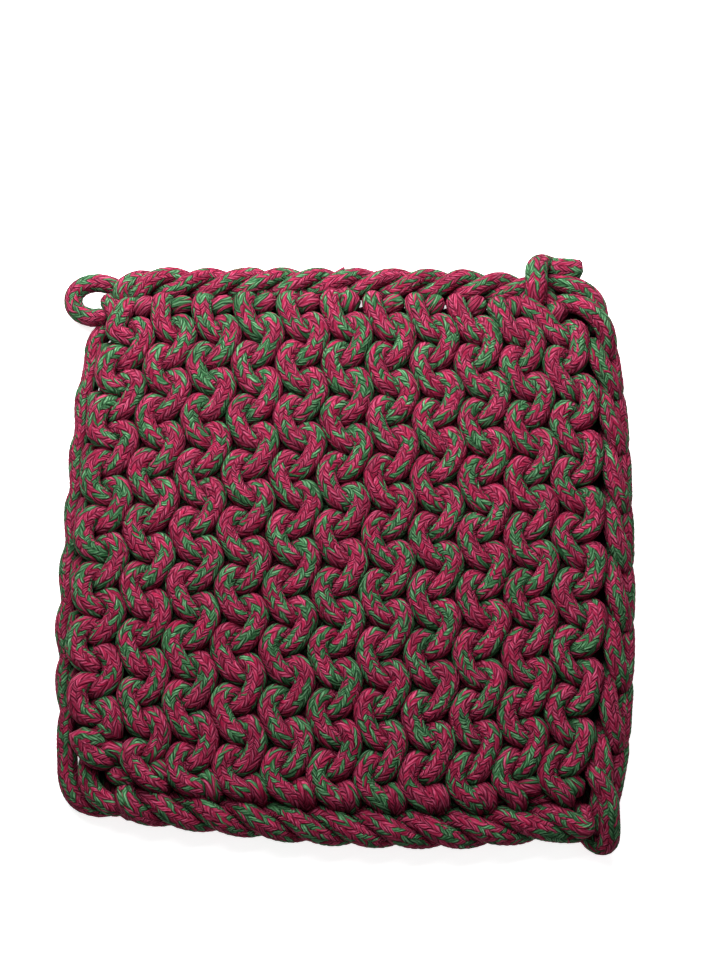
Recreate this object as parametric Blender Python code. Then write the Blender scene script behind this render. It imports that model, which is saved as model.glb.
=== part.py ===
"""A square pot holder knitted in garter stitch from one thick braided cotton cord.

It lies flat on its back. +X runs across the ridges, from the cast-on edge to the
bound-off edge, +Y runs along the ridges towards the hanging loop, and +Z is up.
The sizes below are millimetres. The mesh functions turn them into metres.
"""

import math

import bmesh
import bpy
from mathutils import Vector

MM = 0.001

# The knitting.
PLAN_CENTRE = (-1.0, 7.1)   # middle of everything below, which goes to the origin
THICKNESS = 17.0        # two crossings of the cord, one on each face
RIDGES = 11             # ridges across the face, two rows of knitting each
STITCHES = 9            # stitches along a ridge
FRONT_STATIONS = 6      # points along one stitch on the face
BACK_STATIONS = 4       # points along one stitch on the back
LEFT_CROWN = 7 / 12     # where the left arc of a stitch stands highest, in stitches from the start
BACK_CROWN = 5 / 8      # the same on the back
LEAN = 0.4              # how far an arc leans along its ridge for each unit of its height
DIP_POWER = 2.5         # above 1 the dips between arcs are short and the arcs long
BEND_POWER = 1.3        # the same for how an arc bends sideways

# Heights above the surface that it lies on.
FACE_CROWN = THICKNESS  # top of an arc
FACE_DIP = 12.4         # where an arc dives under its neighbour
FACE_GROOVE = 8.6       # bottom of the gap between two ridges
BACK_DIP = 3.4          # the same two on the back, which rests on its flattened arcs
BACK_GROOVE = 6.6
BACK_PRESSED = 0.1      # how much of the arcs on the back is pressed flat

# Lines along one ridge of the face, in mm from its left gap at an average ridge width:
# where each lies at the left arc's crown, where it lies half a stitch on, and which arc it follows.
RIDGE_WIDTH = 17.0
FACE_LINES = (
    # at crown, half on, arc
    (-2.4, 2.4, "gap"),
    (1.5, 5.0, "left"),
    (5.2, 8.0, "left"),
    (9.0, 11.8, "right"),
    (12.0, 15.5, "right"),
)
BACK_LINES = (
    # at crown, half on, arc
    (-2.2, 2.2, "gap"),
    (1.6, 5.4, "left"),
    (7.2, 9.8, "middle"),
    (11.6, 15.4, "right"),
)

# The four sides of the square, each in the direction of +X or +Y. A row is a place along the side.
# columns: share of the side, edge of the ridges x y, outline x y, top of the edge cord, its underside
BOTTOM_SIDE = (
    (0.00, -91.0, -80.0, -97.5, -86.5, 11.5, 1.5),
    (0.12, -70.5, -81.0, -74.0, -91.5, 13.0, 1.0),
    (0.30, -39.0, -84.0, -40.0, -97.0, 14.0, 1.0),
    (0.50, -4.0, -86.5, -3.0, -100.3, 14.0, 1.0),
    (0.75, 39.5, -87.5, 42.0, -99.6, 14.0, 1.0),
    (0.92, 69.0, -85.0, 77.0, -96.6, 14.0, 1.0),
    (0.98, 80.0, -85.0, 87.0, -99.6, 14.0, 1.0),
    (1.00, 83.0, -85.0, 91.5, -100.0, 14.5, 1.0),
)
RIGHT_SIDE = (
    (0.00, 83.0, -85.0, 91.5, -100.0, 14.5, 1.0),
    (0.03, 83.7, -79.5, 95.0, -93.0, 14.5, 1.0),
    (0.08, 85.0, -70.0, 96.3, -78.0, 15.0, 1.0),
    (0.25, 90.5, -38.5, 101.6, -40.0, 15.5, 1.0),
    (0.50, 93.1, 7.0, 103.4, 8.0, 15.5, 1.0),
    (0.75, 92.3, 53.0, 102.8, 56.0, 15.5, 1.0),
    (0.92, 88.0, 84.0, 99.0, 84.0, 15.0, 1.0),
    (0.97, 85.5, 92.8, 96.6, 94.5, 14.0, 1.0),
    (1.00, 84.0, 98.0, 93.0, 99.5, 12.5, 1.5),
)
TOP_SIDE = (
    (0.00, -86.0, 97.0, -89.5, 103.0, 11.0, 2.5),
    (0.15, -60.0, 99.0, -62.0, 109.0, 11.0, 2.5),
    (0.40, -17.0, 100.4, -18.0, 110.0, 11.0, 2.5),
    (0.65, 26.0, 100.0, 27.0, 109.6, 11.0, 2.5),
    (0.86, 61.0, 98.8, 62.5, 107.8, 11.0, 2.5),
    (0.93, 72.5, 98.2, 74.0, 105.4, 8.0, 2.5),
    (0.97, 79.0, 98.0, 82.5, 101.2, 8.5, 2.0),
    (1.00, 84.0, 98.0, 93.0, 99.5, 12.5, 1.5),
)
LEFT_SIDE = (
    (0.00, -91.0, -80.0, -97.5, -86.5, 11.5, 1.5),
    (0.08, -93.0, -67.0, -100.0, -72.0, 11.0, 1.0),
    (0.30, -98.8, -27.0, -102.0, -27.0, 11.0, 1.0),
    (0.55, -100.0, 19.0, -102.4, 19.0, 11.0, 1.0),
    (0.78, -94.5, 60.0, -98.7, 60.0, 11.0, 1.0),
    (0.93, -88.5, 85.0, -92.8, 88.0, 11.0, 1.5),
    (1.00, -86.0, 97.0, -89.5, 103.0, 11.0, 2.5),
)

# The cord's links along each side: how many, and how far each leans across the edge cord.
# A braid leans one way on its inner half and the other way on its outer half.
EDGE_LINKS = {
    # side: links, lean in links, braided
    "bottom": (12, 0.55, False),
    "right": (10, 0.6, True),
    "top": (11, -0.55, False),
    "left": (9, 0.3, False),
}
LINK_SWELL = 1.2        # how far the middle of a link stands out of the edge cord
EDGE_ANGLES = (112, 42, -30, -105)   # points round the edge cord, in degrees from the outline

# The hanging loop: the cord's middle line, from the top edge round and back to the left edge.
LOOP_CORD = 7.0
LOOP_ROUTE = (
    (-89.9, 104.3, 6.6),
    (-94.6, 104.8, 6.6),
    (-99.0, 103.5, 6.4),
    (-101.8, 100.6, 6.2),
    (-102.2, 96.8, 6.0),
    (-100.2, 93.6, 5.8),
    (-96.6, 91.9, 5.8),
    (-93.1, 91.4, 5.8),
)

# The end of the cord: it comes over the top edge, goes behind it and comes out as a stub.
KNOT_CORD = 7.2
KNOT_ROUTE = (
    (73.6, 99.6, 12.6),
    (73.6, 104.0, 13.4),
    (73.8, 108.6, 12.0),
    (75.0, 111.0, 8.4),
    (77.6, 110.6, 5.8),
    (81.2, 109.2, 5.6),
    (84.8, 108.6, 6.6),
    (87.2, 107.2, 8.0),
)

CURVE_STEPS = 5         # points of a cord between two points of its route
CORD_SIDES = 3          # bevel resolution of a cord: ten sides


def empty_scene():
    for item in list(bpy.data.objects):
        bpy.data.objects.remove(item, do_unlink=True)


def cord_material(name, colour, roughness):
    """Braided cotton: no metal, a dull surface."""
    material = bpy.data.materials.new(name)
    material.use_nodes = True
    shader = material.node_tree.nodes["Principled BSDF"]
    shader.inputs["Base Color"].default_value = (*colour, 1.0)
    shader.inputs["Roughness"].default_value = roughness
    shader.inputs["Metallic"].default_value = 0.0
    material.diffuse_color = (*colour, 1.0)
    return material


def smooth_row(table, share):
    """One row of a side's table at any share, on a smooth curve through the rows given."""
    last = len(table) - 1
    index = max(0, min(last - 1, sum(row[0] <= share for row in table) - 1))
    start = table[index]
    end = table[index + 1]
    before = table[max(0, index - 1)]
    after = table[min(last, index + 2)]
    span = end[0] - start[0]
    part = (share - start[0]) / span
    values = []
    for column in range(1, len(start)):
        leave = (end[column] - before[column]) / (end[0] - before[0]) * span
        arrive = (after[column] - start[column]) / (after[0] - start[0]) * span
        values.append(
            start[column] * (2 * part**3 - 3 * part**2 + 1)
            + leave * (part**3 - 2 * part**2 + part)
            + end[column] * (3 * part**2 - 2 * part**3)
            + arrive * (part**3 - part**2)
        )
    return values


def inside_point(across, along):
    """The place on the square for two shares: the four ridge edges blended over the middle."""
    low = Vector(smooth_row(BOTTOM_SIDE, across)[:2])
    high = Vector(smooth_row(TOP_SIDE, across)[:2])
    left = Vector(smooth_row(LEFT_SIDE, along)[:2])
    right = Vector(smooth_row(RIGHT_SIDE, along)[:2])
    corners = (
        (1 - across) * (1 - along) * Vector(BOTTOM_SIDE[0][1:3])
        + across * (1 - along) * Vector(BOTTOM_SIDE[-1][1:3])
        + (1 - across) * along * Vector(TOP_SIDE[0][1:3])
        + across * along * Vector(TOP_SIDE[-1][1:3])
    )
    return (1 - along) * low + along * high + (1 - across) * left + across * right - corners


def wave(low, high, turn, power):
    """A value that swings from low, at a left arc's crown, to high, half a stitch on."""
    return low + (high - low) * ((1 - math.cos(turn)) / 2) ** power


def knit_point(ridge, line, stitch, crown, heights):
    """A point of the knitting: ridge and stitch count from the corner, heights are the arcs' own."""
    at_crown, half_on, arc = line
    turn = 2 * math.pi * (stitch - crown)
    inner = 0 < ridge < RIDGES or arc != "gap"
    if arc == "right":
        shift = wave(half_on, at_crown, turn + math.pi, BEND_POWER) / RIDGE_WIDTH
    else:
        shift = wave(at_crown, half_on, turn, BEND_POWER if arc == "left" else 1) / RIDGE_WIDTH
    shift = shift if inner else 0.0
    across = min(max((ridge + shift) / RIDGES, 0.0), 1.0)
    place = inside_point(across, stitch / STITCHES)
    top, dip, groove = heights
    height = {
        "gap": groove,
        "left": wave(top, dip, turn, DIP_POWER),
        "right": wave(top, dip, turn + math.pi, DIP_POWER),
        "middle": top,
    }[arc]
    lean = LEAN * (height - (top + dip) / 2) if 0 < stitch < STITCHES else 0.0
    return Vector((place.x, place.y + lean, max(height, 0.0))) * MM


def knit_grid(lines, start, stations, crown, heights):
    """Rows of points over the square: all lines of all ridges, at each station of each stitch."""
    grid = []
    for station in range(STITCHES * stations + 1):
        stitch = station / stations
        row = [
            knit_point(ridge + start, line, stitch, crown, heights)
            for ridge in range(-1, RIDGES + 1)
            for line in lines
            if is_on_square(ridge + start, line)
        ]
        grid.append(row)
    return grid


def is_on_square(ridge, line):
    """A ridge's lines count while they lie between the first gap and the last."""
    middle = (line[0] + line[1]) / 2 / RIDGE_WIDTH
    return -0.001 <= ridge + middle <= RIDGES + 0.001


def add_points(mesh, points):
    return [mesh.verts.new(point) for point in points]


def fill_grid(mesh, rows, upwards):
    """Faces between neighbouring rows of a grid."""
    for low, high in zip(rows, rows[1:]):
        for corner in range(len(low) - 1):
            face = [low[corner], low[corner + 1], high[corner + 1], high[corner]]
            mesh.faces.new(face if upwards else face[::-1])


def grid_rim(rows):
    """The rim of a grid as bottom, right, top and left, one round, each corner once."""
    bottom = rows[0][:-1]
    right = [row[-1] for row in rows[:-1]]
    top = rows[-1][:0:-1]
    left = [row[0] for row in rows[:0:-1]]
    return bottom, right, top, left


def edge_ring(angle_index, counts):
    """One ring of points round the edge cord, at one of the angles round it."""
    angle = math.radians(EDGE_ANGLES[angle_index])
    share_round = angle_index / (len(EDGE_ANGLES) - 1)
    sides = (
        ("bottom", BOTTOM_SIDE, 1),
        ("right", RIGHT_SIDE, 1),
        ("top", TOP_SIDE, -1),
        ("left", LEFT_SIDE, -1),
    )
    ring = []
    for (name, table, direction), count in zip(sides, counts):
        links, lean, braided = EDGE_LINKS[name]
        across_cord = abs(2 * share_round - 1) if braided else share_round
        for step in range(count):
            share = step / count if direction > 0 else 1 - step / count
            body_x, body_y, out_x, out_y, top, under = smooth_row(table, share)
            body = Vector((body_x, body_y, 0))
            outline = Vector((out_x, out_y, 0))
            swell = LINK_SWELL * math.cos(2 * math.pi * (links * share + lean * across_cord))
            near_corner = min(share, 1 - share) * count
            swell *= min(1.0, near_corner / 2)
            reach = 0.5 + 0.5 * math.cos(angle)
            outwards = (outline - body).normalized()
            place = body + (outline - body) * reach + outwards * swell * math.cos(angle)
            height = (top + under) / 2 + ((top - under) / 2 + swell) * math.sin(angle)
            ring.append(Vector((place.x, place.y, max(height, 0.0))) * MM)
    return ring


def join_sides(mesh, inner_sides, outer_sides):
    """Faces between two rims given side by side, so that corner meets corner."""
    for side in range(4):
        inner = inner_sides[side] + inner_sides[(side + 1) % 4][:1]
        outer = outer_sides[side] + outer_sides[(side + 1) % 4][:1]
        one = 0
        two = 0
        inner_last = len(inner) - 1
        outer_last = len(outer) - 1
        while one < inner_last or two < outer_last:
            inner_is_next = (one + 1) * outer_last <= (two + 1) * inner_last
            if two == outer_last or (one < inner_last and inner_is_next):
                mesh.faces.new((inner[one], outer[two], inner[one + 1]))
                one += 1
            else:
                mesh.faces.new((inner[one], outer[two], outer[two + 1]))
                two += 1


def finish_mesh(name, mesh, material):
    """A named object from the points and faces, shaded smooth."""
    bmesh.ops.recalc_face_normals(mesh, faces=mesh.faces)
    data = bpy.data.meshes.new(name)
    mesh.to_mesh(data)
    mesh.free()
    data.shade_smooth()
    data.materials.append(material)
    item = bpy.data.objects.new(name, data)
    bpy.context.collection.objects.link(item)
    return item


def split_ring(ring, counts):
    sides = []
    start = 0
    for count in counts:
        sides.append(ring[start:start + count])
        start += count
    return sides


def knitted_panel():
    """The whole knitted square: ridges on both faces and the linked cord along its four edges."""
    mesh = bmesh.new()
    face_heights = (FACE_CROWN, FACE_DIP, FACE_GROOVE)
    back_heights = (-BACK_PRESSED, BACK_DIP, BACK_GROOVE)
    face = knit_grid(FACE_LINES, 0.0, FRONT_STATIONS, LEFT_CROWN, face_heights)
    back = knit_grid(BACK_LINES, 0.5, BACK_STATIONS, BACK_CROWN, back_heights)
    face_rows = [add_points(mesh, row) for row in face]
    back_rows = [add_points(mesh, row) for row in back]
    fill_grid(mesh, face_rows, upwards=True)
    fill_grid(mesh, back_rows, upwards=False)
    face_rim = grid_rim(face_rows)
    counts = [len(side) for side in face_rim]
    sides = face_rim
    for angle_index in range(len(EDGE_ANGLES)):
        ring = add_points(mesh, edge_ring(angle_index, counts))
        next_sides = split_ring(ring, counts)
        join_sides(mesh, sides, next_sides)
        sides = next_sides
    join_sides(mesh, sides, grid_rim(back_rows))
    return finish_mesh("knitted_panel", mesh, cord_material("marled_cord", (0.36, 0.06, 0.10), 0.9))


def smooth_route(points):
    """A cord's middle line: a smooth curve through the points of its route."""
    table = [(index / (len(points) - 1), *point) for index, point in enumerate(points)]
    steps = (len(points) - 1) * CURVE_STEPS
    return [Vector(smooth_row(table, step / steps)) for step in range(steps + 1)]


def cord_piece(name, points, diameter, material):
    """A length of cord: a round bevel on a line of points, with both ends filled."""
    curve = bpy.data.curves.new(name, "CURVE")
    curve.dimensions = "3D"
    curve.bevel_depth = diameter / 2 * MM
    curve.bevel_resolution = CORD_SIDES
    curve.use_fill_caps = True
    spline = curve.splines.new("POLY")
    spline.points.add(len(points) - 1)
    for slot, point in zip(spline.points, points):
        slot.co = (*(point * MM), 1.0)
    curve.materials.append(material)
    item = bpy.data.objects.new(name, curve)
    bpy.context.collection.objects.link(item)
    return item


def main():
    empty_scene()
    origin = bpy.data.objects.new("pot_holder_origin", None)
    bpy.context.collection.objects.link(origin)
    origin.location = (-PLAN_CENTRE[0] * MM, -PLAN_CENTRE[1] * MM, 0.0)
    pieces = [
        knitted_panel(),
        cord_piece("hanging_loop", smooth_route(LOOP_ROUTE), LOOP_CORD,
                   cord_material("loop_cord", (0.30, 0.09, 0.11), 0.9)),
        cord_piece("cord_end_knot", smooth_route(KNOT_ROUTE), KNOT_CORD,
                   cord_material("knot_cord", (0.27, 0.12, 0.11), 0.9)),
    ]
    for piece in pieces:
        piece.parent = origin


main()
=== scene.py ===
import math

import bpy
import numpy as np
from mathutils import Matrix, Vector


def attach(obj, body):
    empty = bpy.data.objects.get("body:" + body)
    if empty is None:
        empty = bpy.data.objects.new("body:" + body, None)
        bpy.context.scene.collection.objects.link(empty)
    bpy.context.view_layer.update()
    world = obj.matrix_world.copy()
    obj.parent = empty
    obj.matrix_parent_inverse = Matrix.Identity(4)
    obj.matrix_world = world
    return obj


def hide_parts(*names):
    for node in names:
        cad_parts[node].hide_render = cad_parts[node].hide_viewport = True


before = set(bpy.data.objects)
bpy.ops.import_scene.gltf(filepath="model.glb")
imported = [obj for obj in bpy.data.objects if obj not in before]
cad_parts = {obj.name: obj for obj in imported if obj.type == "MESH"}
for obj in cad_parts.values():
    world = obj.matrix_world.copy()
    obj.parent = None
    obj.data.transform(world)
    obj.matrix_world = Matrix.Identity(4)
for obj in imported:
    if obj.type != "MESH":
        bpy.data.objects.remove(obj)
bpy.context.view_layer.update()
print("frame loaded:", ", ".join(sorted(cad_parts)))

mm = 0.001                     # sizes are in millimetres, on the plan that the solids were drawn on
planCentre = (-1.0, 7.1)       # the point of that plan that lies at the origin
turn = 2 * math.pi

# What one would change of the knitting. A row runs along y and the rows follow each other along x.
knitting = {
    "rows": 22,                # two rows make one ridge
    "stitches": 9,
    "rowPitch": 8.5,           # on a square that isn't drawn in at its sides
    "stitchPitch": 20.6,
    "midHeight": 8.5,
    "crownHeight": 4.6,        # of an arc's middle line above or below the middle of the mat
    "sinkerPlace": 7 / 12,     # of the first left arc's crown, in stitches from the lower edge
    "margin": 1.7,             # from the first row's and the last row's half pitch to the edges
    "crownShift": 3.3,         # of that crown along y in the repeat below
    "pointsPerStitch": 24,
    "startTurn": (-203.0, -135.0),      # a row's first and last point, in degrees from a sinker's crown
    "endTurn": 140.0,
    "straightFrom": 15.0,      # where a row with its left arcs in front leaves the last one, in degrees
    "straightTo": (-155.0, -72.0),  # and up to where the two kinds of rows come up straight
    "firstRowReach": 8.0,      # of the cast-on row to the left, where it lies low
    "firstRowLift": 14.5,      # and how far it is drawn up along the side
    "secondRowReach": 13.0,    # of the row whose arcs are the first to be seen
    "lowLift": 7.5,            # how far these two rows' lowest loops are drawn up by the corner
    "lastRowReach": 3.0,       # of the last row to the right, under the bound-off edge
    "loopReach": 11.2,         # of any other row to either side
    "lowFrom": 0.065,          # the share of the side where the corner draws the loops up by lowLift
    "lowFade": 0.11,           # and the share over which that fades
    "lowShares": (1, 1, 0.3),  # how much of it the first rows get
    "sideLength": 190.0,
}

# How far the loops stray together, and the waves that add up to it.
straying = {"size": 0.9, "waves": 10, "wavelength": (6, 16), "seed": 7}

# A row's two ends, and the turn from one row to the next.
rowEnd = {
    "aside": 1.2,              # how far an end drifts to the next row
    "onwards": 0.8,            # share of the cord's length that goes on along the row
    "depth": 4.2,              # how far under the mat's middle it comes to lie
    "steep": 1.5,              # it falls that many times as fast as the end is long
    "late": (0.35, 0),         # share of the lower end that stays up, on even and on odd rows
    "turnOut": 1.5,            # how far a turn swings out past the edge
    "turnHeight": 4.4,
    "turnPoints": 6,
    "soft": (7, 4),            # points that give way more: of a row's start, and of an odd row's end
}

# One repeat of the knitting: two rows over one stitch, drawn and then left to settle by itself.
repeat = {
    "points": 36, "loopHeight": 19.1, "bulge": 3.0, "lean": 0.4, "crown": 4.5,
    "length": 46.0,            # that a stitch pulls itself down to, as far as its neighbours let it
    "radius": 4.0,
    "squeezed": 3.0,
    "thickness": 8.6,          # half of the mat's
    "rounds": 400,
    "growth": 150,             # rounds in which the cord grows to its full radius
    "bend": 0.3,
    "stretch": 0.5,
}

# The four sides, each in the direction of +x or +y.
# columns: share of the side, edge of the ridges x y, outline x y
sides = {
    "bottom": (
        (0.00, -88.5, -80.0, -97.5, -86.5), (0.12, -70.5, -81.0, -74.0, -91.0),
        (0.30, -39.0, -84.0, -40.0, -95.2), (0.50, -4.0, -86.5, -3.0, -98.8),
        (0.75, 39.5, -87.5, 42.0, -99.6), (0.92, 69.0, -85.0, 77.0, -96.6),
        (1.00, 83.0, -85.0, 91.5, -100.0),
    ),
    "right": (
        (0.00, 83.0, -85.0, 91.5, -100.0), (0.08, 85.0, -70.0, 99.6, -73.0),
        (0.25, 90.5, -38.5, 102.2, -40.0), (0.50, 93.1, 7.0, 103.4, 8.0),
        (0.75, 92.3, 53.0, 102.8, 56.0), (0.92, 88.0, 84.0, 99.0, 84.0),
        (1.00, 84.0, 98.0, 93.0, 99.5),
    ),
    "top": (
        (0.00, -84.5, 97.0, -89.5, 103.0), (0.07, -73.0, 98.1, -77.0, 109.6),
        (0.15, -60.0, 99.0, -62.0, 109.6), (0.40, -17.0, 100.4, -18.0, 110.0),
        (0.65, 26.0, 100.0, 27.0, 109.6), (0.86, 61.0, 98.8, 62.5, 107.8),
        (0.93, 72.5, 98.2, 74.0, 105.4), (1.00, 84.0, 98.0, 93.0, 99.5),
    ),
    "left": (
        (0.00, -88.5, -80.0, -97.5, -86.5), (0.08, -91.5, -67.0, -101.0, -72.0),
        (0.30, -96.2, -27.0, -104.3, -27.0), (0.55, -94.9, 19.0, -103.0, 19.0),
        (0.78, -91.4, 60.0, -101.0, 60.0), (0.93, -87.0, 85.0, -96.5, 86.0),
        (1.00, -84.5, 97.0, -89.5, 103.0),
    ),
}

cord = {
    "radius": 3.95,
    "drawn": (3.2, 3.8),       # the radius that is drawn at a loop's legs and at its crown
    "squeezed": 3.1,           # its radius where loops cross inside the mat
    "columns": 12,             # of slanting plaits side by side round the cord
    "plaitPitch": 2.8,         # from one plait to the next along a column
    "plaitSlant": 0.85,        # pitches that a plait leans along the cord over a column's width
    "interlock": 0.25,         # how far a plait's end reaches between two of the next column
    "barPower": 0.7,
    "endDip": 0.45,            # how much lower a plait's ends lie
    "stepsPerPlait": 3,
    "sidesPerColumn": 2,
    "relief": 0.4,
    "sunk": 0.6,               # share of the relief that lies inside the radius
    "endRound": 0.55,          # length of the round end, in radii
}

# How the strands are pushed off each other until they only touch.
settling = {
    "rounds": 90,
    "newPairsEvery": 24,
    "reach": 9.5,              # strands further apart than this aren't compared until the next pairs
    "skip": 13.0,              # neighbours along one strand up to here don't push each other
    "bend": 0.25,
    "stretch": 0.5,
    "hold": 0.02,
    "slack": 0.99,             # a strand's length against its drawn length
    "softTouch": 0.6,          # how much closer the rows' ends may lie
    "otherTouch": 0.9,         # share of their radius at which the edges' strands touch
    "otherDrawn": 0.97,        # and at which they are drawn
    "floor": 0.05,
    "ceiling": 17.3,
}


def smoothRow(table, share):
    # cubic curve through the table's rows, each column by itself: Hermite pieces whose slope at a row
    # is that of the chord between its two neighbours
    table = np.asarray(table, float)
    share = np.clip(np.asarray(share, float), 0, 1)
    keys = table[:, 0]
    values = table[:, 1:]
    slopes = np.empty_like(values)
    slopes[1:-1] = (values[2:] - values[:-2]) / (keys[2:] - keys[:-2])[:, None]
    slopes[0] = (values[1] - values[0]) / (keys[1] - keys[0])
    slopes[-1] = (values[-1] - values[-2]) / (keys[-1] - keys[-2])
    index = np.clip(np.searchsorted(keys, share, side="right") - 1, 0, len(keys) - 2)
    span = (keys[index + 1] - keys[index])[..., None]
    part = (share - keys[index])[..., None] / span
    return (
        values[index] * (2 * part**3 - 3 * part**2 + 1)
        + slopes[index] * span * (part**3 - 2 * part**2 + part)
        + values[index + 1] * (3 * part**2 - 2 * part**3)
        + slopes[index + 1] * span * (part**3 - part**2)
    )


def planPoint(across, along):
    # the two pairs of ridge edges blended over the square, less the blend of its corners that both
    # pairs hold; past an edge the place moves straight out by the same share of the square
    inAcross = np.clip(across, 0, 1)
    inAlong = np.clip(along, 0, 1)
    low = smoothRow(sides["bottom"], inAcross)[..., :2]
    high = smoothRow(sides["top"], inAcross)[..., :2]
    left = smoothRow(sides["left"], inAlong)[..., :2]
    right = smoothRow(sides["right"], inAlong)[..., :2]
    u = inAcross[..., None]
    v = inAlong[..., None]
    corners = (
        (1 - u) * (1 - v) * np.array(sides["bottom"][0][1:3])
        + u * (1 - v) * np.array(sides["bottom"][-1][1:3])
        + (1 - u) * v * np.array(sides["top"][0][1:3])
        + u * v * np.array(sides["top"][-1][1:3])
    )
    place = (1 - v) * low + v * high + (1 - u) * left + u * right - corners
    size = np.array([
        knitting["rows"] * knitting["rowPitch"], knitting["stitches"] * knitting["stitchPitch"]
    ])
    beyond = np.stack([across - inAcross, along - inAlong], -1)
    return place + beyond * size


def nextAlong(rows, step):
    # the rows' points some steps further on, over into the next stitch
    moved = np.roll(rows, -step, axis=1).copy()
    if step > 0:
        moved[:, -step:, 1] += knitting["stitchPitch"]
    else:
        moved[:, :-step, 1] -= knitting["stitchPitch"]
    return moved


def settledRepeat():
    # x swings by the cosine of the turn from sinker to head, y grows with the turn plus the bulge
    # times the sine of twice the turn, z swings by the cosine, the other way on the odd row; then
    # rounds in which strands that overlap push each other off, keep their length and stay smooth
    r = repeat
    count = r["points"]
    angle = np.arange(count) / count * turn
    along = knitting["stitchPitch"] * angle / turn + r["bulge"] * np.sin(2 * angle)
    rows = np.empty((2, count, 3))
    for odd in (0, 1):
        height = (2 * odd - 1) * r["crown"] * np.cos(angle)
        rows[odd, :, 0] = odd * knitting["rowPitch"] - r["loopHeight"] / 2 * np.cos(angle)
        rows[odd, :, 1] = along + r["lean"] * height
        rows[odd, :, 2] = height
    full = r["squeezed"] + (r["radius"] - r["squeezed"]) * np.abs(np.cos(angle))
    copies = np.array([(i, j) for i in (-1, 0, 1) for j in (-1, 0, 1)])
    shifts = np.column_stack([copies * (2 * knitting["rowPitch"], knitting["stitchPitch"]), np.zeros(9)])
    strandOf = np.repeat((0, 1), count)
    place = np.tile(np.arange(count), 2)
    between = np.abs(place[:, None] - place - copies[:, 1, None, None] * count) * r["length"] / count
    near = (strandOf[:, None] == strandOf) & (copies[:, 0, None, None] == 0)
    near &= between < 3 * r["radius"]
    for done in range(r["rounds"]):
        radius = np.tile(full, 2) * (0.5 + 0.5 * min(1, (done + 1) / r["growth"]))
        flat = rows.reshape(-1, 3)
        apart = flat[None, :, None] - flat - shifts[:, None, None]
        gap = np.sqrt((apart**2).sum(3))
        over = np.where(near, 0, np.maximum(radius[:, None] + radius - gap, 0))
        push = (apart * (over / np.maximum(gap, 1e-6))[..., None]).sum((0, 2))
        met = (over > 0).sum((0, 2))[:, None]
        rows = (flat + 0.5 * push / np.maximum(met, 1)).reshape(2, count, 3)
        for _ in range(4):
            link = nextAlong(rows, 1) - rows
            size = np.linalg.norm(link, axis=2, keepdims=True)
            pull = link * (size - r["length"] / count) / size * 0.5 * r["stretch"]
            rows = rows + pull - np.roll(pull, 1, axis=1)
        curl = nextAlong(rows, -2) + nextAlong(rows, 2) + 6 * rows
        curl -= 4 * (nextAlong(rows, -1) + nextAlong(rows, 1))
        rows = rows - r["bend"] / 8 * curl
        rows[..., 2] = np.clip(rows[..., 2], full - r["thickness"], r["thickness"] - full)
    print("repeat settled: heights", np.round((rows[..., 2].min(), rows[..., 2].max()), 2))
    return rows


def strayed(plan):
    # the mat's loops lie unevenly: sums of a few seeded waves over the plan, the same for all
    # strands that cross at a place
    rng = np.random.default_rng(straying["seed"])
    moved = np.zeros_like(plan)
    for _ in range(straying["waves"]):
        wave = rng.normal(0, 1, 2) / rng.uniform(*straying["wavelength"])
        moved += np.sin(plan @ wave + rng.uniform(0, turn))[:, None] * rng.normal(0, 1, 2)
    return moved * straying["size"] / math.sqrt(straying["waves"])


def straightEnd(angle, stitch, loops, start, end, late):
    # from one turn to another a row leaves its loops: it drifts a little to the side, goes on along
    # the row by a part of the cord's length, and drops as a smooth step under the edge's rope
    side, along, height = loops
    at = np.argmin(np.abs(angle - start))
    part = np.clip((angle - angle[at]) / (end - start), 0, 1)
    gone = (angle - angle[at]) * repeat["length"] / 360
    onwards = along[at] + (stitch[at] - stitch) * knitting["stitchPitch"] + gone * rowEnd["onwards"]
    drop = np.clip((part - late) * rowEnd["steep"], 0, 1)
    lowered = height[at] - (height[at] + rowEnd["depth"]) * drop**2 * (3 - 2 * drop)
    beyond = part > 0
    return (
        np.where(beyond, side[at] + rowEnd["aside"] * part, side),
        np.where(beyond, onwards, along),
        np.where(beyond, lowered, height),
    )


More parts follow.
